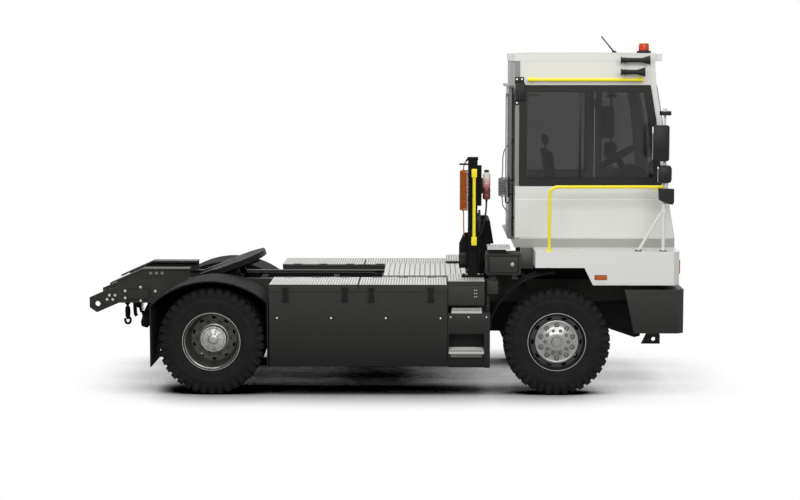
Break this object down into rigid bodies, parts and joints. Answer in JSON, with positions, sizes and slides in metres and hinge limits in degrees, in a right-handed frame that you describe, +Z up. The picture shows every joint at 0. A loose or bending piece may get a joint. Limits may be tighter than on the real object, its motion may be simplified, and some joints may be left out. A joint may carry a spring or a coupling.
{
  "type": "electric terminal tractor",
  "caption": "Two-axle electric terminal tractor with offset half-width cab, side battery boxes and a lifting fifth wheel for shunting semi-trailers in ports and yards.",
  "frame": {"origin": "centre of the bounding box on the ground", "axes": "+X forward along the length, +Y to the vehicle's left, +Z up"},
  "size_m": [6.14, 2.55, 3.6278],
  "materials": {
    "chassis_paint": "satin black chassis paint",
    "box_paint": "dark grey paint",
    "cab_paint": "off-white gloss paint",
    "drive_paint": "grey paint",
    "spring_steel": "dark steel",
    "rod_chrome": "hard chrome",
    "fifth_wheel_iron": "greased cast iron",
    "pack_case": "grey case",
    "tread_aluminium": "chequered aluminium",
    "orange_lead": "orange cable sheath",
    "bottle_plastic": "translucent bottle with red fluid",
    "grey_lead": "grey cable sheath",
    "black_plastic": "black plastic",
    "clear_lens": "clear lens",
    "amber_lens": "amber lens",
    "red_lens": "red lens",
    "tinted_glass": "tinted glass",
    "seat_cloth": "dark seat cloth",
    "dash_plastic": "grey plastic",
    "rail_yellow": "yellow paint",
    "tyre_rubber": "black rubber",
    "wheel_steel": "silver grey paint"
  },
  "bodies": {
    "front_wheel_left": {"tyre_front_left": "tyre_rubber", "wheel_front_left": "wheel_steel"},
    "rear_wheel_left": {"tyre_rear_left": "tyre_rubber", "wheel_rear_left": "wheel_steel"},
    "steering_knuckle_left": {"knuckle_left": "chassis_paint"},
    "battery_lid_left_front": {"lid_left_front": "box_paint"},
    "battery_lid_left_rear": {"lid_left_rear": "box_paint"},
    "front_wheel_right": {"tyre_front_right": "tyre_rubber", "wheel_front_right": "wheel_steel"},
    "rear_wheel_right": {"tyre_rear_right": "tyre_rubber", "wheel_rear_right": "wheel_steel"},
    "steering_knuckle_right": {"knuckle_right": "chassis_paint"},
    "battery_lid_right_front": {"lid_right_front": "box_paint"},
    "battery_lid_right_rear": {"lid_right_rear": "box_paint"},
    "track_rod": {"tie_rod": "chassis_paint"},
    "left_door": {"cab_door_left": "cab_paint", "door_glass_left": "tinted_glass"},
    "rear_door": {"cab_door_rear": "cab_paint", "door_glass_rear": "tinted_glass"},
    "cabinet_front": {"cabinet_door": "box_paint"},
    "boom": {"lift_boom": "chassis_paint"},
    "coupler": {"fifth_wheel": "fifth_wheel_iron"},
    "ram_barrels": {"lift_barrels": "chassis_paint"},
    "ram_rods": {"lift_rods": "rod_chrome"},
    "vehicle": {"frame_rails": "chassis_paint", "cross_members": "chassis_paint", "tail_plates": "chassis_paint", "tail_couplings": "black_plastic", "rear_axle": "chassis_paint", "drive_unit": "drive_paint", "front_axle": "chassis_paint", "leaf_springs": "spring_steel", "battery_boxes": "box_paint", "battery_packs": "pack_case", "step_boxes": "box_paint", "tread_plates": "tread_aluminium", "hose_mast": "chassis_paint", "oil_tank": "chassis_paint", "coil_orange": "orange_lead", "fluid_bottle": "bottle_plastic", "coil_grey": "grey_lead", "cabinet": "box_paint", "mudguards": "black_plastic", "front_deck": "cab_paint", "front_bumper": "box_paint", "headlamps": "clear_lens", "amber_lamps": "amber_lens", "tail_lamps": "red_lens", "cab_floor": "cab_paint", "cab_front": "cab_paint", "cab_right": "cab_paint", "cab_left": "cab_paint", "cab_rear": "cab_paint", "cab_roof": "cab_paint", "cab_glass": "tinted_glass", "driver_seat": "seat_cloth", "dashboard": "dash_plastic", "roof_fittings": "black_plastic", "mirrors": "black_plastic", "grab_rails": "rail_yellow"}
  },
  "joints": [
    {"name": "steer_left", "type": "hinge", "parent": "vehicle", "child": "steering_knuckle_left", "pos_m": [1.8, 0.835, 0.54], "axis": [0, 0, 1], "range_deg": [-38, 38]},
    {"name": "front_wheel_left_spin", "type": "hinge", "parent": "steering_knuckle_left", "child": "front_wheel_left", "pos_m": [1.8, 1.052, 0.54], "axis": [0, 1, 0], "continuous": true},
    {"name": "rear_wheel_left_spin", "type": "hinge", "parent": "vehicle", "child": "rear_wheel_left", "pos_m": [-1.7, 0.907, 0.54], "axis": [0, 1, 0], "continuous": true},
    {"name": "lid_left_front_hinge", "type": "hinge", "parent": "vehicle", "child": "battery_lid_left_front", "pos_m": [0.24, 0.594, 1.118], "axis": [1, 0, 0], "range_deg": [0, 95]},
    {"name": "lid_left_rear_hinge", "type": "hinge", "parent": "vehicle", "child": "battery_lid_left_rear", "pos_m": [-0.657, 0.594, 1.118], "axis": [1, 0, 0], "range_deg": [0, 95]},
    {"name": "steer_right", "type": "hinge", "parent": "vehicle", "child": "steering_knuckle_right", "pos_m": [1.8, -0.835, 0.54], "axis": [0, 0, 1], "range_deg": [-38, 38]},
    {"name": "front_wheel_right_spin", "type": "hinge", "parent": "steering_knuckle_right", "child": "front_wheel_right", "pos_m": [1.8, -1.052, 0.54], "axis": [0, 1, 0], "continuous": true},
    {"name": "rear_wheel_right_spin", "type": "hinge", "parent": "vehicle", "child": "rear_wheel_right", "pos_m": [-1.7, -0.907, 0.54], "axis": [0, 1, 0], "continuous": true},
    {"name": "lid_right_front_hinge", "type": "hinge", "parent": "vehicle", "child": "battery_lid_right_front", "pos_m": [0.24, -0.594, 1.118], "axis": [-1, 0, 0], "range_deg": [0, 95]},
    {"name": "lid_right_rear_hinge", "type": "hinge", "parent": "vehicle", "child": "battery_lid_right_rear", "pos_m": [-0.657, -0.594, 1.118], "axis": [-1, 0, 0], "range_deg": [0, 95]},
    {"name": "track_rod_swing", "type": "hinge", "parent": "steering_knuckle_left", "child": "track_rod", "pos_m": [1.54, 0.835, 0.41], "axis": [0, 0, 1], "range_deg": [-38, 38]},
    {"name": "left_door_hinge", "type": "hinge", "parent": "vehicle", "child": "left_door", "pos_m": [2.346, 1.012, 2.3], "axis": [0, 0, -1], "range_deg": [0, 75]},
    {"name": "rear_door_slide", "type": "slide", "parent": "vehicle", "child": "rear_door", "axis": [0, 1, 0], "range_m": [0, 0.66]},
    {"name": "cabinet_hinge", "type": "hinge", "parent": "vehicle", "child": "cabinet_front", "pos_m": [1.09, -1.1, 1.32], "axis": [0, 0, -1], "range_deg": [0, 100]},
    {"name": "boom_lift", "type": "hinge", "parent": "vehicle", "child": "boom", "pos_m": [-0.1, 0, 1.015], "axis": [0, 1, 0], "range_deg": [0, 18]},
    {"name": "coupler_tilt", "type": "hinge", "parent": "boom", "child": "coupler", "pos_m": [-1.55, 0, 1.138], "axis": [0, 1, 0], "range_deg": [0, 30]},
    {"name": "ram_swing", "type": "hinge", "parent": "vehicle", "child": "ram_barrels", "pos_m": [-0.76, 0, 0.56], "axis": [0, 1, 0], "range_deg": [0, 9]},
    {"name": "ram_stroke", "type": "slide", "parent": "ram_barrels", "child": "ram_rods", "axis": [-0.3032, 0, 0.9529], "range_m": [0, 0.236]}
  ],
  "couplings": [
    {"joint": "steer_right", "follows": "steer_left", "ratio": 1},
    {"joint": "track_rod_swing", "follows": "steer_left", "ratio": -1},
    {"joint": "ram_swing", "follows": "boom_lift", "ratio": 0.4963},
    {"joint": "ram_stroke", "follows": "boom_lift", "m_per_rad": 0.7456}
  ]
}
